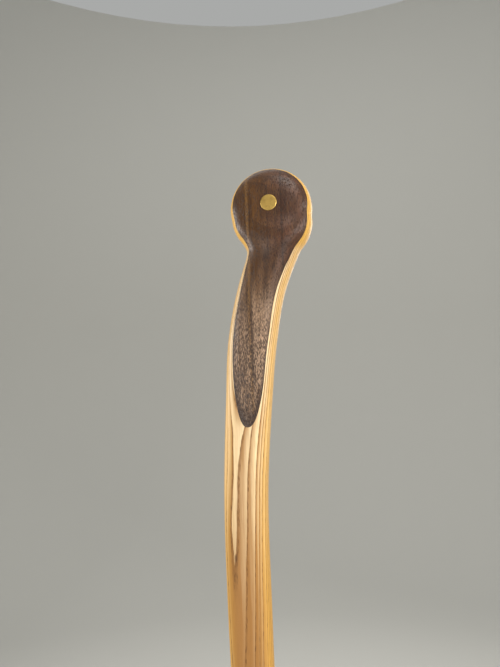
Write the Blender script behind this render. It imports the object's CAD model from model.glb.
import math

import bmesh
import bpy
import numpy as np
from mathutils import Matrix, Vector


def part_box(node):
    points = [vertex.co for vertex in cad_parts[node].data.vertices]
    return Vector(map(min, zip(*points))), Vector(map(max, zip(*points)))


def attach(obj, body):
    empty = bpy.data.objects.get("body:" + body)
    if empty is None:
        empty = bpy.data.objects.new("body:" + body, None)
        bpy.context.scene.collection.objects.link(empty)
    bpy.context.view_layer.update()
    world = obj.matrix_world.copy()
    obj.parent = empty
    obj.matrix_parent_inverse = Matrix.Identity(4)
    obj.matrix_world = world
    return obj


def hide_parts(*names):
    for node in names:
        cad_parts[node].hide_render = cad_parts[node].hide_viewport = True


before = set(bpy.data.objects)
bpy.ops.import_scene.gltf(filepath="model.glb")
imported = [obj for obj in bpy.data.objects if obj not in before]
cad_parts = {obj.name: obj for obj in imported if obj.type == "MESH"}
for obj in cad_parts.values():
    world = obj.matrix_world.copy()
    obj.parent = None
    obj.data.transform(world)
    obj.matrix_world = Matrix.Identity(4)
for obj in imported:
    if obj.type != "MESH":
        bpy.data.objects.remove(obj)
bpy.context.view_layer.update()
mm = 0.001  # the shapes are worked out in millimetres and put into the meshes in metres

pinLow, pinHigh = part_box("head_pin")
ferruleLow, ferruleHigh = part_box("ferrule")
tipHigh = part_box("rubber_tip")[1]
knobHeight = (pinLow.z + pinHigh.z) / 2 / mm
shaftDrop = knobHeight - ferruleHigh.z / mm  # knob's centre to the top of the ferrule
print("frame loaded, knob's centre at", round(knobHeight, 2), "mm")


def gridQuads(rows, columns):
    # four corners of every cell of a grid whose points are numbered row by row
    first = np.arange(rows - 1)[:, None] * columns + np.arange(columns - 1)[None, :]
    return np.stack([first, first + 1, first + columns + 1, first + columns], axis=-1).reshape(-1, 4)


def pieceFromSheets(name, sheets, sharpAngle):
    # one closed mesh from grids of points in millimetres: points that coincide become one, cells squeezed
    # to a line or a point drop out, and the faces are turned outwards
    points, quads, count = [], [], 0
    for sheet in sheets:
        rows, columns, _ = sheet.shape
        quads.append(gridQuads(rows, columns) + count)
        points.append(sheet.reshape(-1, 3))
        count += rows * columns
    points, quads = np.concatenate(points) * mm, np.concatenate(quads)
    mesh = bpy.data.meshes.new(name)
    mesh.vertices.add(len(points))
    mesh.vertices.foreach_set("co", points.astype(np.float32).ravel())
    mesh.loops.add(quads.size)
    mesh.loops.foreach_set("vertex_index", quads.astype(np.int32).ravel())
    mesh.polygons.add(len(quads))
    mesh.polygons.foreach_set("loop_start", np.arange(0, quads.size, 4, dtype=np.int32))
    mesh.update(calc_edges=True)
    work = bmesh.new()
    work.from_mesh(mesh)
    bmesh.ops.remove_doubles(work, verts=work.verts, dist=0.004 * mm)
    bmesh.ops.dissolve_degenerate(work, edges=work.edges, dist=0.001 * mm)
    bmesh.ops.recalc_face_normals(work, faces=work.faces)
    work.to_mesh(mesh)
    work.free()
    mesh.polygons.foreach_set("use_smooth", np.ones(len(mesh.polygons), dtype=bool))
    mesh.set_sharp_from_angle(angle=math.radians(sharpAngle))
    piece = bpy.data.objects.new(name, mesh)
    bpy.context.scene.collection.objects.link(piece)
    return piece


def settle(piece, node, material):
    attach(piece, "root")
    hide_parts(node)
    piece.data.materials.append(material)
    print(piece.name, "has", len(piece.data.polygons), "faces")


def roundedProfile(corners):
    # a profile of (radius, height, rounding) corners: each corner becomes a short parabola that leaves one
    # side and joins the next at the rounding's distance from the corner, kept under half of either side
    corners = np.array(corners, float)
    here, before, after = corners[1:-1, :2], corners[:-2, :2], corners[2:, :2]
    toBefore, toAfter = before - here, after - here
    longBefore = np.linalg.norm(toBefore, axis=1, keepdims=True)
    longAfter = np.linalg.norm(toAfter, axis=1, keepdims=True)
    reach = np.minimum(corners[1:-1, 2:], 0.49 * np.minimum(longBefore, longAfter))
    start, end = here + toBefore / longBefore * reach, here + toAfter / longAfter * reach
    t = np.linspace(0, 1, 5)[None, :, None]
    arcs = start[:, None] * (1 - t) ** 2 + here[:, None] * 2 * t * (1 - t) + end[:, None] * t * t
    return np.concatenate([corners[:1, :2], arcs.reshape(-1, 2), corners[-1:, :2]])


def spunSheet(profile, sides):
    # a profile of (radius, height) carried round the Z axis
    turn = np.linspace(0, 2 * np.pi, sides + 1)
    radius, height = profile[:, :1], profile[:, 1:]
    return np.stack([radius * np.cos(turn), radius * np.sin(turn), height + 0 * turn], axis=-1)


# Each table runs down from the knob's centre: (distance below it, value), in millimetres.
woodShape = {
    "knobRadius": 24.0,
    "glueDepth": 10.0,  # the glue face lies this far in front of the middle of the ash
    "cornerBlend": 3.0,  # softness of the inside corner between knob and neck
    "leftEdge": [(0, -17.0), (8, -21.8), (14, -20.8), (20, -17.0), (25, -14.9), (30, -15.8), (36, -17.9),
                 (46.5, -21.2), (76, -27.4), (111, -29.8), (158, -31.8), (228, -30.8), (264, -29.6),
                 (shaftDrop, -9.5)],
    "width": [(0, 35.4), (8, 45.2), (14, 43.6), (20, 37.0), (25, 31.2), (30, 29.6), (36, 29.1), (46.5, 28.4),
              (76, 28.4), (111, 26.7), (158, 25.0), (228, 24.0), (264, 23.2), (shaftDrop, 19.0)],
    "crown": [(0, 5.3), (7, 5.3), (18, 6.7), (31, 4.8), (46, 3.6), (76, 3.1), (102, 1.8), (117, 0.6),
              (126, 0.0), (142, -0.4), (186, -0.45), (shaftDrop, -0.5)],  # front face over the glue face
    "backDepth": [(0, 10.0), (shaftDrop, 9.5)],
    "ridgeShift": [(0, 0.0), (60, 0.0), (126, 1.6), (186, 0.0), (286, 0.0), (shaftDrop, 0.0)],
    "frontFullness": [(0, 3.15), (30, 2.45), (76, 2.3), (126, 2.5), (186, 2.7), (shaftDrop, 2.0)],
    "backFullness": [(0, 2.6), (126, 2.6), (shaftDrop, 2.0)],
    "tongueLength": 126.0,
    "pinRadius": 4.75,
    "pinSpread": 14.0,  # rows this close below the pin bend round it
    "backReach": 1.15,  # angle from the middle of the back to where the sides begin
    "tenonRadius": 8.5,
    "tenonBottom": 9.2,
    "domeSteps": 65,  # points round the upper half of the knob
    "outwardColumns": 23,
    "holeColumns": 33,
    "sideColumns": 31,
    "sharpAngle": 35,  # degrees, above which an edge stays crisp
}


def along(table, drop):
    # smooth curve through a table: cubic pieces whose slope at a point is the weighted mean of both sides
    places, values = np.array(table, float).T
    steps = np.diff(places)
    rises = np.diff(values) / steps
    inner = (rises[:-1] * steps[1:] + rises[1:] * steps[:-1]) / (steps[:-1] + steps[1:])
    slopes = np.concatenate([rises[:1], inner, rises[-1:]])
    i = np.clip(np.searchsorted(places, drop, side="right") - 1, 0, len(steps) - 1)
    t = (drop - places[i]) / steps[i]
    start = values[i] * (1 + 2 * t) * (1 - t) ** 2 + slopes[i] * steps[i] * t * (1 - t) ** 2
    end = values[i + 1] * t * t * (3 - 2 * t) + slopes[i + 1] * steps[i] * t * t * (t - 1)
    return start + end


def edgesAt(drop):
    # left and right edge of knob and shaft together: the larger of the two, rounded where they cross
    shape = woodShape
    left = along(shape["leftEdge"], drop)
    right = left + along(shape["width"], drop)
    knob = np.sqrt(np.maximum(shape["knobRadius"] ** 2 - drop ** 2, 0))
    blend = shape["cornerBlend"]

    def larger(edge):
        near = np.maximum(blend - np.abs(knob - edge), 0)
        rounded = np.maximum(knob, edge) + near * near / (4 * blend)
        return np.where(drop < shape["knobRadius"], rounded, edge)

    return -larger(-left), larger(right)


def sectionAt(drop, angle):
    # a point of the cross-section: angle 0 is the front ridge, positive turns to the right, pi is the back.
    # Front and back are half super-ellipses, each with its depth and fullness, and the ridge leans sideways
    shape = woodShape
    left, right = edgesAt(drop)
    front = shape["glueDepth"] + along(shape["crown"], drop)
    ahead = np.abs(angle) < np.pi / 2
    power = 2 / np.where(ahead, along(shape["frontFullness"], drop), along(shape["backFullness"], drop))
    y = np.where(ahead, -front, along(shape["backDepth"], drop)) * np.abs(np.cos(angle)) ** power
    lean = np.where(ahead, along(shape["ridgeShift"], drop) * (y / front) ** 2, 0)
    swell = (right - left) / 2 * np.sign(np.sin(angle)) * np.abs(np.sin(angle)) ** power
    return (left + right) / 2 + lean + swell, y


def depthAt(x, drop, side):
    # the same surface as a height over the plan: side -1 is the front, 1 the back
    shape = woodShape
    left, right = edgesAt(drop)
    depth = along(shape["crown" if side < 0 else "backDepth"], drop)
    if side < 0:
        depth = shape["glueDepth"] + depth
    fullness = along(shape["frontFullness" if side < 0 else "backFullness"], drop)
    off = np.clip(np.abs(x - (left + right) / 2) / ((right - left) / 2), 0, 1)
    return side * depth * (1 - off ** fullness) ** (1 / fullness)


def glueAngle(drop):
    # section angle at which the front surface passes through the glue face; zero below the tongue
    shape = woodShape
    front = shape["glueDepth"] + along(shape["crown"], drop)
    ratio = np.clip(shape["glueDepth"] / front, 0, 1)
    return np.arccos(ratio ** (along(shape["frontFullness"], drop) / 2))


def planColumns(reachAngle, side):
    # columns of a face with the pin's hole in it, left to right: straight out to the hole's left, round the
    # lower half of the hole, and out to the right. Gives each column's place in the top row, its dip under
    # the hole and its share of the way to the face's edge
    hole = woodShape["pinRadius"]
    drop = np.zeros(1)
    edge = sectionAt(drop, reachAngle if side < 0 else np.pi - reachAngle)[0].item()
    outward = hole + (edge - hole) * np.linspace(0, 1, woodShape["outwardColumns"]) ** 1.15
    underHole = hole * np.cos(np.linspace(np.pi, 0, woodShape["holeColumns"])[1:-1])
    x = np.concatenate([-outward[::-1], underHole, outward])
    dip = np.sqrt(np.maximum(hole ** 2 - x ** 2, 0))
    power = 2 / along(woodShape["frontFullness" if side < 0 else "backFullness"], drop)
    share = np.arcsin((np.abs(x) / woodShape["knobRadius"]) ** (1 / power)) * np.sign(x) / reachAngle
    return x, dip, np.clip(share, -1, 1), outward


def faceSheet(drops, reach, side, flat=None):
    # the front or back face below the knob's centre: rows go down, columns go across. Near the pin the rows
    # start as the top row with its dip and ease into level rows. With flat given it lies in that plane
    drop = drops[:, None]
    reach = reach[:, None] if np.ndim(reach) else reach
    topReach = reach[0] if np.ndim(reach) else reach
    x0, dip, share, _ = planColumns(np.ravel(topReach)[0], side)
    angle = share * reach if side < 0 else np.pi - share * reach
    levelX, levelY = sectionAt(drop, angle)
    spread, hole = woodShape["pinSpread"], woodShape["pinRadius"]
    t = np.clip(drop / spread, 0, 1)
    ease = t * t * (3 - 2 * t)
    outside = np.clip((np.abs(x0) - hole) / (x0[-1] - hole), 0, 1)
    edgeRatio = np.where(x0 > 0, levelX[:, -1:] / x0[-1], levelX[:, :1] / x0[0])
    x = (1 - ease) * x0 * (1 + (edgeRatio - 1) * outside) + ease * levelX
    lower = drop + dip * (1 - ease)
    y = np.where(drop < spread, depthAt(x, lower, side), levelY)
    if flat is not None:
        y = 0 * y + flat
    return np.stack([x, y, knobHeight - lower], axis=-1)


def domeSheet(reach, side, flat=None):
    # the upper half of a face of the knob: its top row turned about the pin
    outward = planColumns(reach, side)[3]
    turn = np.linspace(0, np.pi, woodShape["domeSteps"])[:, None]
    y = depthAt(outward, np.zeros(1), side) if flat is None else 0 * outward + flat
    return np.stack([outward * np.cos(turn), y + 0 * turn, knobHeight + outward * np.sin(turn)], axis=-1)


def rimSheet(angles):
    # the upper half of the knob's rim: a strip of the top section turned about the pin
    x, y = sectionAt(np.zeros(1), angles)
    turn = np.linspace(0, np.pi, woodShape["domeSteps"])[:, None]
    return np.stack([x * np.cos(turn), y + 0 * turn, knobHeight + x * np.sin(turn)], axis=-1)


def boreSheet(*faces):
    # wall of the pin's hole between two faces: their inner edges, joined all the way round. Each face is
    # given as its dome, the sheet below it and the places of that sheet's columns
    loops = []
    for dome, face, columnsX in faces:
        inner = face[0, np.abs(columnsX) <= woodShape["pinRadius"] + 1e-6]
        loops.append(np.concatenate([dome[:, 0], inner[1:]]))
    return np.stack(loops)


# Rows are close together round the knob and at the tongue's tip. The plan holds how many rows each run has,
# and in millimetres how far the runs go.
rowPlan = {"knobEnd": 50, "knob": 76, "grip": 54, "tipRun": 12, "tip": 26, "belowRun": 30, "below": 22,
           "shaft": 190}


def rowsDown():
    # the rows' distances below the knob's centre, to the tongue's tip and to the end of the shaft
    plan, tongue = rowPlan, woodShape["tongueLength"]
    knobEnd, tipRun, belowRun = plan["knobEnd"], plan["tipRun"], plan["belowRun"]
    toTongue = np.concatenate([
        np.linspace(0, knobEnd, plan["knob"]),
        np.linspace(knobEnd, tongue - tipRun, plan["grip"])[1:],
        tongue - tipRun * np.linspace(1, 0, plan["tip"])[1:] ** 2])
    toEnd = np.concatenate([
        toTongue,
        tongue + belowRun * np.linspace(0, 1, plan["below"])[1:] ** 1.5,
        np.linspace(tongue + belowRun, shaftDrop, plan["shaft"])[1:]])
    return toTongue, toEnd


tongueRows, shaftRows = rowsDown()
glue = -woodShape["glueDepth"]
topGlueAngle = glueAngle(np.zeros(1)).item()


def walnutSheets():
    # domed front, flat back on the glue face, and the wall of the pin's hole
    reach = glueAngle(tongueRows)
    columnsX = planColumns(topGlueAngle, -1)[0]
    front, dome = faceSheet(tongueRows, reach, -1), domeSheet(topGlueAngle, -1)
    back, domeBack = faceSheet(tongueRows, reach, -1, glue), domeSheet(topGlueAngle, -1, glue)
    bore = boreSheet((dome, front, columnsX), (domeBack, back, columnsX))
    return [front, dome, back, domeBack, bore]


def ashSheets():
    # glue face, both sides, back, the knob's rim, the shaft's end with its tenon, and the pin's hole
    reach, backReach = glueAngle(tongueRows), woodShape["backReach"]
    glueFace, glueDome = faceSheet(tongueRows, reach, -1, glue), domeSheet(topGlueAngle, -1, glue)
    back, backDome = faceSheet(shaftRows, backReach, 1), domeSheet(backReach, 1)
    share = np.linspace(0, 1, woodShape["sideColumns"])
    start = glueAngle(shaftRows)[:, None]
    sides = []
    for hand in (1, -1):
        x, y = sectionAt(shaftRows[:, None], hand * (start + (np.pi - backReach - start) * share))
        sides.append(np.stack([x, y, knobHeight - shaftRows[:, None] + 0 * x], axis=-1))
    rim = rimSheet(topGlueAngle + (np.pi - backReach - topGlueAngle) * share)
    # the last row of the sides and back, drawn in to the tenon and carried down to its end
    edge = np.concatenate([sides[0][-1], back[-1, ::-1], sides[1][-1, ::-1]])
    scale = woodShape["tenonRadius"] / np.hypot(edge[:, 0], edge[:, 1])[:, None]
    tenonTop = np.concatenate([edge[:, :2] * scale, edge[:, 2:]], axis=1)
    tenonEnd = np.concatenate([tenonTop[:, :2], 0 * edge[:, 2:] + woodShape["tenonBottom"]], axis=1)
    centre = np.concatenate([0 * tenonEnd[:, :2], tenonEnd[:, 2:]], axis=1)
    tenon = np.stack([edge, tenonTop, tenonEnd, centre])
    glueX, backX = planColumns(topGlueAngle, -1)[0], planColumns(backReach, 1)[0]
    bore = boreSheet((glueDome, glueFace, glueX), (backDome, back, backX))
    return [glueFace, glueDome, back, backDome, *sides, rim, tenon, bore]


class NodeBench:
    # makes nodes in one tree and joins them; a value may be a number, a tuple or another node's output
    def __init__(self, tree):
        self.tree = tree

    def put(self, socket, value):
        if isinstance(value, bpy.types.NodeSocket):
            self.tree.links.new(value, socket)
        else:
            socket.default_value = value

    def add(self, kind, settings=None, inputs=None, output=0):
        node = self.tree.nodes.new(kind)
        for key, value in (settings or {}).items():
            setattr(node, key, value)
        for key, value in (inputs or {}).items():
            self.put(node.inputs[key], value)
        return node.outputs[output] if node.outputs else node

    def calc(self, operation, *values):
        return self.add("ShaderNodeMath", {"operation": operation}, dict(enumerate(values)))

    def minus(self, first, second):
        return self.calc("SUBTRACT", first, second)

    def times(self, first, second):
        return self.calc("MULTIPLY", first, second)

    def timesPlus(self, first, second, extra):
        return self.calc("MULTIPLY_ADD", first, second, extra)

    def remap(self, value, low, high, toLow=0.0, toHigh=1.0):
        # smooth step from toLow to toHigh as the value goes from low to high
        inputs = {"Value": value, "From Min": low, "From Max": high, "To Min": toLow, "To Max": toHigh}
        return self.add("ShaderNodeMapRange", {"interpolation_type": "SMOOTHSTEP"}, inputs)

    def split(self, vector):
        node = self.tree.nodes.new("ShaderNodeSeparateXYZ")
        self.put(node.inputs[0], vector)
        return node.outputs

    def join(self, x, y, z):
        return self.add("ShaderNodeCombineXYZ", None, {0: x, 1: y, 2: z})

    def scaled(self, vector, sizes):
        return self.add("ShaderNodeVectorMath", {"operation": "MULTIPLY"}, {0: vector, 1: sizes})

    def noise(self, vector, scale, detail=3.0, roughness=0.55):
        return self.add("ShaderNodeTexNoise", None,
                        {"Vector": vector, "Scale": scale, "Detail": detail, "Roughness": roughness})

    def blend(self, share, first, second):
        node = self.tree.nodes.new("ShaderNodeMix")
        node.data_type, node.clamp_factor = "RGBA", True
        self.put(node.inputs["Factor"], share)
        self.put(node.inputs[6], first)
        self.put(node.inputs[7], second)
        return node.outputs[2]

    def effect(self, group, inputs):
        node = self.tree.nodes.new("ShaderNodeGroup")
        node.node_tree = group
        for key, value in inputs.items():
            self.put(node.inputs[key], value)
        return node.outputs


def effectGroup(name, inputs, outputs):
    # an empty node group with its sockets; gives its tree, its bench, its inputs by name and its output node
    tree = bpy.data.node_groups.new(name, "ShaderNodeTree")
    for label, value in inputs.items():
        kind = "NodeSocketVector" if value is None else "NodeSocketFloat"
        socket = tree.interface.new_socket(name=label, in_out="INPUT", socket_type=kind)
        if value is not None:
            socket.default_value = value
    for label in outputs:
        tree.interface.new_socket(name=label, in_out="OUTPUT", socket_type="NodeSocketFloat")
    given, result = tree.nodes.new("NodeGroupInput"), tree.nodes.new("NodeGroupOutput")
    return tree, NodeBench(tree), given.outputs, result.inputs


def growthRingsGroup():
    # rings round a leaning pith: distance from the pith, less a slow climb with height, counted in ring
    # widths from the first ring. Above Crook Start the pith bends to the right with the neck. Pores is the
    # dark line of coarse pores that starts each ring, weaker where the surface lies flat on the ring; Early
    # is the wood that fades after it; Tone differs from ring to ring
    tree, bench, given, result = effectGroup(
        "growthRings",
        {"Vector": None, "Pith X": 0.0, "Pith Y": 0.02, "Lean": 0.0, "Height": 0.8, "First Ring": 0.02,
         "Ring Width": 0.0012, "Taper": 0.003, "Wander": 0.0003, "Crook": 0.0, "Crook Start": 0.8},
        ("Pores", "Early", "Tone"))
    x, y, z = bench.split(given["Vector"])
    rise = bench.minus(z, given["Height"])
    above = bench.calc("MAXIMUM", bench.minus(z, given["Crook Start"]), 0.0)
    x = bench.minus(x, bench.times(bench.times(above, above), given["Crook"]))
    offX = bench.minus(x, bench.timesPlus(rise, given["Lean"], given["Pith X"]))
    offY = bench.minus(y, given["Pith Y"])
    away = bench.calc("SQRT", bench.calc("ADD", bench.times(offX, offX), bench.times(offY, offY)))
    radius = bench.minus(away, bench.timesPlus(rise, given["Taper"], given["First Ring"]))
    drift = bench.noise(bench.scaled(given["Vector"], (60.0, 60.0, 9.0)), 1.0, 2.0)
    ripple = bench.noise(bench.scaled(given["Vector"], (420.0, 420.0, 40.0)), 1.0, 2.0)
    radius = bench.timesPlus(bench.minus(drift, 0.5), given["Wander"], radius)
    years = bench.calc("DIVIDE", radius, given["Ring Width"])
    years = bench.timesPlus(bench.minus(ripple, 0.5), 0.16, years)
    years = bench.timesPlus(bench.calc("SINE", bench.times(years, 2.1)), 0.16, years)
    phase = bench.calc("FRACT", years)
    line = bench.calc("MAXIMUM", bench.remap(phase, 0.02, 0.24, 1.0, 0.0), bench.remap(phase, 0.95, 1.0))
    slant = bench.calc("ABSOLUTE", bench.calc("DIVIDE", offX, away))
    bench.put(result["Pores"], bench.times(line, bench.remap(slant, 0.0, 0.11, 0.22, 1.0)))
    fade = bench.remap(phase, 0.1, 0.9, 1.0, 0.0)
    bench.put(result["Early"], bench.calc("MAXIMUM", fade, bench.remap(phase, 0.96, 1.0)))
    year = bench.calc("FLOOR", years)
    bench.put(result["Tone"], bench.add("ShaderNodeTexWhiteNoise", {"noise_dimensions": "1D"}, {"W": year}))
    return tree


def openPoresGroup():
    # open pores as short slits along the shaft: nearness to scattered cell centres, with Z squeezed
    tree, bench, given, result = effectGroup(
        "openPores", {"Vector": None, "Spacing": 0.0004, "Length": 0.004, "Fill": 0.3}, ("Pores",))
    x, y, z = bench.split(given["Vector"])
    across, deep = (bench.calc("DIVIDE", part, given["Spacing"]) for part in (x, y))
    squeezed = bench.join(across, deep, bench.calc("DIVIDE", z, given["Length"]))
    cells = bench.add("ShaderNodeTexVoronoi", {"feature": "F1"}, {"Vector": squeezed, "Scale": 1.0})
    edge = bench.times(given["Fill"], 0.55)
    bench.put(result["Pores"], bench.remap(cells, edge, given["Fill"], 1.0, 0.0))
    return tree


def fibreGroup():
    # fine fibres and broader cloudy streaks, both drawn out along Z
    tree, bench, given, result = effectGroup("fibre", {"Vector": None, "Fineness": 1.0}, ("Fibre", "Cloud"))
    fine = bench.scaled(given["Vector"], (2600.0, 2600.0, 110.0))
    broad = bench.scaled(given["Vector"], (480.0, 480.0, 14.0))
    bench.put(result["Fibre"], bench.noise(fine, given["Fineness"], 3.0, 0.6))
    bench.put(result["Cloud"], bench.noise(broad, given["Fineness"], 3.0, 0.5))
    return tree


def streakGroup():
    # one vein along the shaft: a line that is at Place at its Height, leans and wavers, and bows to the
    # right below it. Vein is how near a point is to it, and Side is 1 to its right and 0 to its left
    tree, bench, given, result = effectGroup(
        "streak",
        {"Vector": None, "Place": 0.0, "Lean": 0.0, "Bow": 0.0, "Width": 0.001, "Height": 0.0,
         "Waver": 0.0006},
        ("Vein", "Side"))
    x, y, z = bench.split(given["Vector"])
    rise = bench.minus(z, given["Height"])
    line = bench.timesPlus(rise, given["Lean"], given["Place"])
    below = bench.calc("MINIMUM", rise, 0.0)
    line = bench.timesPlus(bench.times(below, below), given["Bow"], line)
    waver = bench.noise(bench.scaled(given["Vector"], (6.0, 6.0, 34.0)), 1.0, 1.0)
    line = bench.timesPlus(bench.minus(waver, 0.5), given["Waver"], line)
    off = bench.calc("DIVIDE", bench.minus(x, line), given["Width"])
    bench.put(result["Vein"], bench.calc("EXPONENT", bench.times(bench.times(off, off), -1.0)))
    bench.put(result["Side"], bench.remap(off, -0.5, 0.8))
    return tree


def handlingGroup():
    # what handling leaves: soft cloudy sheen and sparse fine scratches
    tree, bench, given, result = effectGroup(
        "handling", {"Vector": None, "Amount": 1.0}, ("Sheen", "Scratch"))
    cloud = bench.noise(given["Vector"], 55.0, 3.0)
    bench.put(result["Sheen"], bench.times(bench.minus(cloud, 0.5), given["Amount"]))
    lines = bench.noise(bench.scaled(given["Vector"], (900.0, 900.0, 170.0)), 1.0, 2.0)
    bench.put(result["Scratch"], bench.times(bench.remap(lines, 0.66, 0.74), given["Amount"]))
    return tree


def newMaterial(name, constants):
    # a material with its Principled BSDF; constants go straight onto the shader's own sockets
    material = bpy.data.materials.new(name)
    material.use_nodes = True
    tree = material.node_tree
    shader = tree.nodes["Principled BSDF"]
    for key, value in constants.items():
        shader.inputs[key].default_value = value
    bench = NodeBench(tree)
    place = bench.add("ShaderNodeTexCoord", output=3)
    return material, bench, shader, place


def addBump(bench, shader, strength, distance, height):
    bump = bench.add("ShaderNodeBump", None, {"Strength": strength, "Distance": distance, "Height": height})
    bench.put(shader.inputs["Normal"], bump)


growthRings, openPores, fibre, streak, handling = (
    growthRingsGroup(), openPoresGroup(), fibreGroup(), streakGroup(), handlingGroup())
print("effects built")


# Fades are (from, to, share at from, share at to), in metres.
ashLook = {
    "cream": (0.86, 0.655, 0.385, 1.0),
    "honey": (0.35, 0.165, 0.045, 1.0),
    "toast": (0.30, 0.14, 0.038, 1.0),  # the shaft away from the hand
    "golden": (0.72, 0.41, 0.085, 1.0),  # the sides, along the rays
    "early": (0.21, 0.095, 0.026, 1.0),
    "pore": (0.10, 0.042, 0.014, 1.0),
    "rings": {"Pith X": -0.0329, "Pith Y": -0.0454, "Lean": 0.038, "First Ring": 0.0372, "Ring Width": 0.0018,
              "Taper": 0.0003, "Wander": 0.0003, "Crook": 1.0},
    "pores": {"Spacing": 0.00042, "Length": 0.0042, "Fill": 0.42},
    "apexDrop": 0.1957,  # below the knob's centre, where the first ring's arch comes to its point
    "crookDrop": 0.158,
    "knotX": -0.0243,
    "knotY": -0.0097,
    "upperHoney": (0.800, 0.745, 0.02, 0.14),
    "lowerHoney": (0.740, 0.640, 0.06, 0.7),
    "toastFade": (0.765, 0.640, 0.0, 0.6),
    "sideFade": (-0.0097, -0.0060, 0.0, 0.55),  # front to back
    "knobFade": (-0.030, -0.021, 0.0, 0.95),  # from the knob's centre
}


def ashMaterial():
    look = ashLook
    material, bench, shader, place = newMaterial("oiledAsh", {"Specular IOR Level": 0.2})
    top = knobHeight * mm
    apexHeight = top - look["apexDrop"]
    rings = bench.effect(growthRings, {
        "Vector": place, "Height": apexHeight, "Crook Start": top - look["crookDrop"], **look["rings"]})
    fibres = bench.effect(fibre, {"Vector": place, "Fineness": 1.0})
    pores = bench.effect(openPores, {"Vector": place, **look["pores"]})["Pores"]
    worn = bench.effect(handling, {"Vector": place, "Amount": 1.0})
    x, y, z = bench.split(place)
    # the wood is browner away from the hand, after each ring's pores, and in cloudy streaks
    honey = bench.calc("ADD", bench.remap(z, *look["upperHoney"]), bench.remap(z, *look["lowerHoney"]))
    honey = bench.timesPlus(rings["Early"], 0.62, honey)
    honey = bench.timesPlus(bench.minus(fibres["Cloud"], 0.5), 0.9, honey)
    honey = bench.timesPlus(bench.minus(rings["Tone"], 0.5), 0.16, honey)
    base = bench.blend(honey, look["cream"], look["honey"])
    base = bench.blend(bench.remap(z, *look["toastFade"]), base, look["toast"])
    knobFrom, knobTo, *knobShares = look["knobFade"]
    onKnob = bench.remap(z, top + knobFrom, top + knobTo, *knobShares)
    base = bench.blend(bench.calc("MAXIMUM", bench.remap(y, *look["sideFade"]), onKnob), base, look["golden"])
    base = bench.blend(bench.remap(fibres["Fibre"], 0.4, 0.8, 0.0, 0.28), base, look["early"])
    ringLine = bench.times(rings["Pores"], bench.timesPlus(rings["Tone"], 0.25, 0.55))
    base = bench.blend(ringLine, base, look["early"])
    slits = bench.times(pores, bench.remap(rings["Pores"], 0.1, 0.7))
    base = bench.blend(bench.times(slits, 0.8), base, look["pore"])
    # the knot: distance to its centre, with depth and height shortened so that it is drawn out along them
    knotCentre = (look["knotX"], look["knotY"], apexHeight)
    fromKnot = bench.add("ShaderNodeVectorMath", {"operation": "SUBTRACT"}, {0: place, 1: knotCentre})
    fromKnot = bench.scaled(fromKnot, (1.0, 0.3, 0.42))
    knot = bench.add("ShaderNodeVectorMath", {"operation": "LENGTH"}, {0: fromKnot}, output=1)
    base = bench.blend(bench.remap(knot, 0.0004, 0.0012, 0.75, 0.0), base, look["pore"])
    bench.put(shader.inputs["Base Color"], base)
    rough = bench.timesPlus(worn["Sheen"], 0.25, 0.46)
    bench.put(shader.inputs["Roughness"], bench.timesPlus(slits, 0.25, rough))
    height = bench.timesPlus(slits, -1.0, bench.times(fibres["Fibre"], 0.3))
    addBump(bench, shader, 0.6, 0.00012, height)
    return material


ashPiece = pieceFromSheets("ashShaft", ashSheets(), woodShape["sharpAngle"])
settle(ashPiece, "ash_shaft", ashMaterial())


walnutLook = {
    "brown": (0.090, 0.038, 0.011, 1.0),
    "plum": (0.088, 0.036, 0.019, 1.0),
    "dark": (0.022, 0.009, 0.005, 1.0),
    "ochre": (0.21, 0.105, 0.03, 1.0),
    "pale": (0.52, 0.34, 0.215, 1.0),
    "rings": {"Pith X": 0.004, "Pith Y": 0.045, "Lean": 0.03, "First Ring": 0.06, "Ring Width": 0.0019,
              "Taper": 0.004, "Wander": 0.002},
    "pores": {"Spacing": 0.0005, "Length": 0.0026, "Fill": 0.42},
    "ochreVein": {"Place": -0.0128, "Lean": 0.0, "Bow": 0.0, "Width": 0.0008, "Waver": 0.0022},
    "darkVein": {"Place": 0.0071, "Lean": 0.008, "Bow": 0.0, "Width": 0.0007, "Waver": 0.002},
    "figure": {"Place": -0.0117, "Lean": 0.0, "Bow": 20.0, "Width": 0.0009, "Waver": 0.0006},
    "figureDrop": 0.092,  # this and the next three are distances below the knob's centre
    "figureHead": (0.045, 0.065),
    "figureFoot": (0.1045, 0.100),
    "gripFade": (0.030, 0.085),
    "glueLine": (-0.0110, -0.0101, 0.0, 0.8),
}


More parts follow.
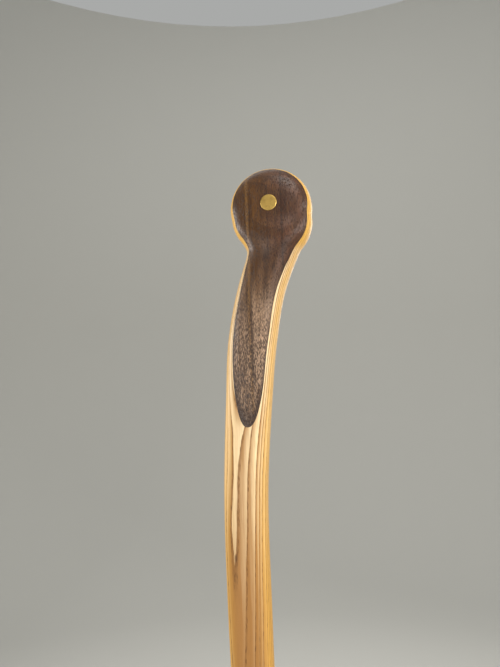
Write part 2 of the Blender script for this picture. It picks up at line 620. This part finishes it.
def walnutMaterial():
    look = walnutLook
    material, bench, shader, place = newMaterial("oiledWalnut", {"Specular IOR Level": 0.32})
    top = knobHeight * mm
    rings = bench.effect(growthRings, {"Vector": place, "Height": top, **look["rings"]})
    fibres = bench.effect(fibre, {"Vector": place, "Fineness": 0.8})
    pores = bench.effect(openPores, {"Vector": place, **look["pores"]})["Pores"]
    worn = bench.effect(handling, {"Vector": place, "Amount": 1.0})
    x, y, z = bench.split(place)

    def below(fade, toLow=0.0, toHigh=1.0):
        return bench.remap(z, top - fade[0], top - fade[1], toLow, toHigh)

    base = bench.blend(bench.remap(x, -0.010, 0.010), look["brown"], look["plum"])
    grip = below(look["gripFade"], 0.0, 0.9)
    rubbed = bench.times(grip, bench.remap(fibres["Cloud"], 0.3, 0.6, 0.3, 0.9))
    base = bench.blend(rubbed, base, look["pale"])
    base = bench.blend(bench.remap(fibres["Cloud"], 0.45, 0.75, 0.0, 0.7), base, look["dark"])
    base = bench.blend(bench.times(rings["Early"], 0.35), base, look["dark"])
    base = bench.blend(bench.remap(fibres["Fibre"], 0.45, 0.8, 0.0, 0.35), base, look["ochre"])
    ochreVein = bench.effect(streak, {"Vector": place, "Height": top, **look["ochreVein"]})["Vein"]
    base = bench.blend(bench.times(ochreVein, 0.62), base, look["ochre"])
    darkVein = bench.effect(streak, {"Vector": place, "Height": top, **look["darkVein"]})["Vein"]
    base = bench.blend(bench.times(darkVein, 0.7), base, look["dark"])
    # the figure on the grip: paler wood to the right of a thin dark line that bows
    figure = bench.effect(streak, {"Vector": place, "Height": top - look["figureDrop"], **look["figure"]})
    inFigure = bench.times(below(look["figureFoot"]), below(look["figureHead"]))
    base = bench.blend(bench.times(bench.times(figure["Side"], inFigure), 0.4), base, look["pale"])
    base = bench.blend(bench.times(bench.times(figure["Vein"], inFigure), 0.7), base, look["dark"])
    speckle = bench.noise(bench.scaled(place, (1900.0, 1900.0, 600.0)), 1.0, 2.0, 0.5)
    pitted = bench.times(bench.remap(speckle, 0.64, 0.38), bench.timesPlus(grip, 0.8, 0.12))
    base = bench.blend(pitted, base, look["dark"])
    base = bench.blend(bench.times(pores, 0.75), base, look["dark"])
    base = bench.blend(bench.remap(y, *look["glueLine"]), base, look["dark"])  # oil soaks in darker there
    bench.put(shader.inputs["Base Color"], base)
    rough = bench.timesPlus(worn["Sheen"], 0.2, 0.36)
    bench.put(shader.inputs["Roughness"], bench.timesPlus(pores, 0.3, rough))
    height = bench.timesPlus(pores, -1.0, bench.times(fibres["Fibre"], 0.35))
    height = bench.timesPlus(pitted, -0.9, height)
    addBump(bench, shader, 0.8, 0.00016, height)
    return material


walnutPiece = pieceFromSheets("walnutCap", walnutSheets(), woodShape["sharpAngle"])
settle(walnutPiece, "walnut_cap", walnutMaterial())


brassLook = {
    "bright": (0.60, 0.40, 0.115, 1.0),
    "dull": (0.36, 0.225, 0.06, 1.0),
    "pinTarnish": 0.7,
    "pinRoughness": 0.34,
    "ferruleTarnish": 0.45,
    "ferruleRoughness": 0.22,
}


def brassMaterial(name, tarnish, roughness):
    look = brassLook
    material, bench, shader, place = newMaterial(name, {"Metallic": 1.0})
    worn = bench.effect(handling, {"Vector": place, "Amount": 1.0})
    cloud = bench.noise(place, 420.0, 4.0)
    dulled = bench.remap(cloud, 0.35, 0.75, 0.0, tarnish)
    base = bench.blend(dulled, look["bright"], look["dull"])
    base = bench.blend(bench.times(worn["Scratch"], 0.5), base, look["bright"])
    bench.put(shader.inputs["Base Color"], base)
    bench.put(shader.inputs["Roughness"], bench.timesPlus(cloud, 0.22, roughness))
    brushed = bench.noise(bench.scaled(place, (6000.0, 300.0, 700.0)), 1.0, 2.0)
    addBump(bench, shader, 0.25, 0.00005, bench.timesPlus(worn["Scratch"], -0.6, brushed))
    return material


pinShape = {"radius": 4.75, "chamfer": 0.4, "rounding": 0.12, "sides": 96, "sharpAngle": 30}


def pinPiece():
    # a chamfered rod: the profile is spun and laid along Y through the knob's centre
    shape = pinShape
    half = (pinHigh.y - pinLow.y) / 2 / mm
    middle = (pinHigh.y + pinLow.y) / 2 / mm
    r, c, soft = shape["radius"], shape["chamfer"], shape["rounding"]
    profile = roundedProfile([
        (0, -half, 0), (r - c, -half, soft), (r, -half + c, soft),
        (r, half - c, soft), (r - c, half, soft), (0, half, 0)])
    sheet = spunSheet(profile, shape["sides"])
    laid = np.stack([sheet[..., 0], sheet[..., 2] + middle, sheet[..., 1] + knobHeight], axis=-1)
    return pieceFromSheets("headPin", [laid], shape["sharpAngle"])


pinBrass = brassMaterial("sandedBrass", brassLook["pinTarnish"], brassLook["pinRoughness"])
settle(pinPiece(), "head_pin", pinBrass)

ferruleShape = {"outer": 9.5, "inner": 8.5, "lip": 0.3, "rounding": 0.25, "inside": 0.05, "sides": 128,
                "sharpAngle": 40}


def ferrulePiece():
    # a straight tube with a softened lip: its closed profile is spun about the cane's axis
    shape = ferruleShape
    low, high = ferruleLow.z / mm, ferruleHigh.z / mm
    outer, inner, soft = shape["outer"], shape["inner"], shape["inside"]
    profile = roundedProfile([
        (inner, (low + high) / 2, 0), (inner, low, soft), (outer, low, shape["rounding"]),
        (outer, high, shape["lip"]), (inner, high, soft), (inner, (low + high) / 2, 0)])
    return pieceFromSheets("footFerrule", [spunSheet(profile, shape["sides"])], shape["sharpAngle"])


ferruleBrass = brassMaterial("turnedBrass", brassLook["ferruleTarnish"], brassLook["ferruleRoughness"])
settle(ferrulePiece(), "ferrule", ferruleBrass)

# from the cane's axis outwards: the shank's end, the seat of the head, its brim and its top
nailShape = {"shank": 0.8, "head": 1.6, "crown": 0.7, "inner": 3.5, "seat": 9.35, "brim": 9.7, "top": 10.2,
             "sides": 32, "sharpAngle": 40}


def nailsPiece():
    # two round-headed nails, one each side: a profile spun about X at the nails' height
    shape = nailShape
    nailLow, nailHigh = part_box("ferrule_nails")
    height = (nailLow.z + nailHigh.z) / 2 / mm
    shank, head, seat = shape["shank"], shape["head"], shape["seat"]
    profile = roundedProfile([
        (0, shape["inner"], 0), (shank, shape["inner"], 0.2), (shank, seat, 0.05), (head, seat, 0.05),
        (head, shape["brim"], 0.3), (shape["crown"], shape["top"], 0.5), (0, shape["top"], 0)])
    sheet = spunSheet(profile, shape["sides"])
    right = np.stack([sheet[..., 2], sheet[..., 0], sheet[..., 1] + height], axis=-1)
    return pieceFromSheets("ferruleNails", [right, right * (-1, 1, 1)], shape["sharpAngle"])


settle(nailsPiece(), "ferrule_nails", ferruleBrass)


tipShape = {
    "bore": 9.5,
    "floor": 8.0,  # rubber under the washer
    "mouth": 12.7,
    "base": 16.5,
    "rim": 4.0,
    "flareLean": 0.5128,  # how steeply the flare leans in where it leaves the rim
    "bead": 0.9,
    "beadHeight": 5.0,
    "treadDepth": 1.6,
    "treadWidth": 1.8,
    "treadRings": (0.36, 0.68),  # middles of the grooves, as shares of the base's radius
    "sides": 144,
    "sharpAngle": 50,
}


def rubberTipPiece():
    # a bell spun about the cane's axis: tread grooves below, a flared base, a slim waist, a beaded mouth and
    # a bore
    shape = tipShape
    base, mouth, bead, depth = shape["base"], shape["mouth"], shape["bead"], shape["treadDepth"]
    height, floor, rim = tipHigh.z / mm, shape["floor"], shape["rim"]
    middle = (floor + height) / 2
    t = np.linspace(0, 1, 25)[1:-1]
    # flare from rim to waist: a cubic curve that starts leaning in and ends upright
    waistR = base * (2 * t ** 3 - 3 * t ** 2 + 1) + mouth * (3 * t ** 2 - 2 * t ** 3)
    waistR -= shape["flareLean"] * (middle - rim) * (t ** 3 - 2 * t ** 2 + t)
    waistZ = rim + (middle - rim) * t
    corners = [(0, 0, 0)]
    for share in shape["treadRings"]:
        inner, outer = base * share - shape["treadWidth"] / 2, base * share + shape["treadWidth"] / 2
        corners += [(inner, 0, 0.25), (inner, depth, 0.3), (outer, depth, 0.3), (outer, 0, 0.25)]
    corners += [(base, 0, 0.8), (base, rim, 0.5)]
    corners += [(r, z, 0.2) for r, z in zip(waistR.tolist(), waistZ.tolist())]
    top = height - shape["beadHeight"]
    corners += [(mouth, middle, 0.2), (mouth, top, 0.35), (mouth + bead, top, 0.7)]
    corners += [(mouth + bead, height, 0.7), (shape["bore"], height, 0.4), (shape["bore"], floor, 0.2)]
    corners += [(0, floor, 0)]
    sheet = spunSheet(roundedProfile(corners), shape["sides"])
    return pieceFromSheets("rubberTip", [sheet], shape["sharpAngle"])


rubberLook = {"black": (0.022, 0.022, 0.023, 1.0), "dust": (0.16, 0.15, 0.13, 1.0), "dustHeight": 0.012}


def rubberMaterial():
    look = rubberLook
    material, bench, shader, place = newMaterial("mouldedRubber", {"Specular IOR Level": 0.4})
    worn = bench.effect(handling, {"Vector": place, "Amount": 1.0})
    low = bench.remap(bench.split(place)[2], look["dustHeight"], 0.0)
    grime = bench.noise(place, 300.0, 5.0)
    dust = bench.times(bench.remap(grime, 0.42, 0.7), bench.timesPlus(low, 0.55, 0.12))
    base = bench.blend(dust, look["black"], look["dust"])
    base = bench.blend(bench.times(worn["Scratch"], 0.3), base, look["dust"])
    bench.put(shader.inputs["Base Color"], base)
    bench.put(shader.inputs["Roughness"], bench.timesPlus(dust, 0.3, 0.55))
    addBump(bench, shader, 0.3, 0.0001, bench.noise(place, 2600.0, 3.0))
    return material


settle(rubberTipPiece(), "rubber_tip", rubberMaterial())


washerLook = {"dull": (0.45, 0.45, 0.44, 1.0), "clean": (0.6, 0.6, 0.6, 1.0), "scratch": (0.7, 0.7, 0.7, 1.0)}


def washerMaterial():
    look = washerLook
    material, bench, shader, place = newMaterial("plainSteel", {"Metallic": 1.0})
    worn = bench.effect(handling, {"Vector": place, "Amount": 1.0})
    cloud = bench.noise(place, 500.0, 3.0)
    base = bench.blend(cloud, look["dull"], look["clean"])
    bench.put(shader.inputs["Base Color"], bench.blend(worn["Scratch"], base, look["scratch"]))
    bench.put(shader.inputs["Roughness"], bench.timesPlus(cloud, 0.2, 0.3))
    return material


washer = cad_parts["tip_washer"]
washer.data.materials.clear()
washer.data.materials.append(washerMaterial())
print("washer has its steel")


studio = {
    "floorTone": (0.54, 0.535, 0.505, 1.0),
    "skyTone": (0.60, 0.61, 0.60, 1.0),
    "skyStrength": 0.66,
    "sweepStart": 1.6,  # metres from the cane where the floor begins to turn up
    "sweepRadius": 1.2,
    "sweepHeight": 3.2,
    "sides": 96,
    "sharpAngle": 60,
}


def sweepPiece():
    # floor and backdrop in one: a level run, a quarter circle and an upright run, spun round the cane
    s = studio
    turn = np.linspace(0, np.pi / 2, 33)
    wall = s["sweepStart"] + s["sweepRadius"]
    radius = np.concatenate([[0.0], s["sweepStart"] + s["sweepRadius"] * np.sin(turn), [wall]])
    height = np.concatenate([[0.0], s["sweepRadius"] * (1 - np.cos(turn)), [s["sweepHeight"]]])
    sheet = spunSheet(np.stack([radius, height], axis=1) / mm, s["sides"])
    floor = pieceFromSheets("floor", [sheet], s["sharpAngle"])
    material, bench, shader, place = newMaterial("paleFloor", {"Roughness": 0.9, "Specular IOR Level": 0.2})
    shader.inputs["Base Color"].default_value = s["floorTone"]
    floor.data.materials.append(material)


sweepPiece()
world = bpy.data.worlds.new("studioSky")
world.use_nodes = True
world.node_tree.nodes["Background"].inputs["Color"].default_value = studio["skyTone"]
world.node_tree.nodes["Background"].inputs["Strength"].default_value = studio["skyStrength"]
bpy.context.scene.world = world

# Places are measured from the knob's centre, in metres; power is in watts.
knobCentre = Vector((0, 0, knobHeight * mm))
lamps = {
    "rightSoftbox": {"at": (1.15, -0.25, 0.1), "toward": (0, 0, -0.1),
                     "size": 0.6, "power": 6.5, "tone": (1.0, 0.97, 0.92)},
    "leftSoftbox": {"at": (-1.1, 0.1, 0.0), "toward": (0, 0, -0.1),
                    "size": 0.6, "power": 9.0, "tone": (1.0, 0.98, 0.97)},
    "neckSoftbox": {"at": (0.85, -0.7, 0.08), "toward": (0, 0, -0.1),
                    "size": 0.3, "power": 2.4, "tone": (1.0, 0.98, 0.97)},
    "frontSoftbox": {"at": (0.5, -0.9, 1.2), "toward": (0, 0, -0.1),
                     "size": 0.8, "power": 14.0, "tone": (1.0, 0.99, 0.96)},
    "lowSoftbox": {"at": (-0.45, -1.2, -0.35), "toward": (0, 0, -0.1),
                   "size": 0.5, "power": 7.0, "tone": (1.0, 0.98, 0.96)},
    "topSoftbox": {"at": (-0.3, 0.4, 1.3), "toward": (0, 0, -0.1),
                   "size": 0.9, "power": 4.0, "tone": (1.0, 1.0, 1.0)},
    "backSoftbox": {"at": (0.4, 1.2, 0.4), "toward": (0, 0, -0.1),
                    "size": 0.8, "power": 7.0, "tone": (1.0, 0.98, 0.95)},
    "footSoftbox": {"at": (0.7, -0.8, -0.5), "toward": (0, 0, -0.6),
                    "size": 0.6, "power": 4.0, "tone": (1.0, 0.98, 0.95)},
    "backdropSoftbox": {"at": (0.0, 1.0, 1.6), "toward": (0, 2.8, 0.7),
                        "size": 1.6, "power": 10.0, "tone": (1.0, 1.0, 0.98)},
}
for lampName, lamp in lamps.items():
    light = bpy.data.lights.new(lampName, "AREA")
    light.shape, light.size, light.energy, light.color = "SQUARE", lamp["size"], lamp["power"], lamp["tone"]
    holder = bpy.data.objects.new(lampName, light)
    holder.location = knobCentre + Vector(lamp["at"])
    target = knobCentre + Vector(lamp["toward"])
    holder.rotation_euler = (target - holder.location).to_track_quat("-Z", "Y").to_euler()
    holder.visible_camera = False
    bpy.context.scene.collection.objects.link(holder)
print("floor and lights in place")

viewpoint = {
    "turn": 9.4,  # degrees to the right of straight on
    "lift": -6.5,  # degrees above level
    "roll": 1.5,
    "reach": 0.293,  # metres from the point looked at
    "focal": 27.04,
    "sensor": 36.0,
    "aside": -0.0150,  # the point looked at, from the knob's centre
    "below": -0.0726,
}


def placeCamera():
    # back runs from the point looked at to the camera; right and up are turned about it by the roll
    v = viewpoint
    turn, lift, roll = (math.radians(v[key]) for key in ("turn", "lift", "roll"))
    back = Vector((math.sin(turn) * math.cos(lift), -math.cos(turn) * math.cos(lift), math.sin(lift)))
    right = Vector((math.cos(turn), math.sin(turn), 0))
    up = back.cross(right)
    rolledRight = right * math.cos(roll) - up * math.sin(roll)
    rolledUp = right * math.sin(roll) + up * math.cos(roll)
    where = knobCentre + Vector((v["aside"], 0, v["below"])) + back * v["reach"]
    lens = bpy.data.cameras.new("camera")
    lens.lens, lens.sensor_width, lens.clip_start = v["focal"], v["sensor"], 0.01
    camera = bpy.data.objects.new("camera", lens)
    turned = Matrix((rolledRight, rolledUp, back)).transposed()
    camera.matrix_world = Matrix.Translation(where) @ turned.to_4x4()
    bpy.context.scene.collection.objects.link(camera)
    bpy.context.scene.camera = camera


placeCamera()
bpy.context.scene.view_settings.view_transform = "Standard"

print("scene ready")
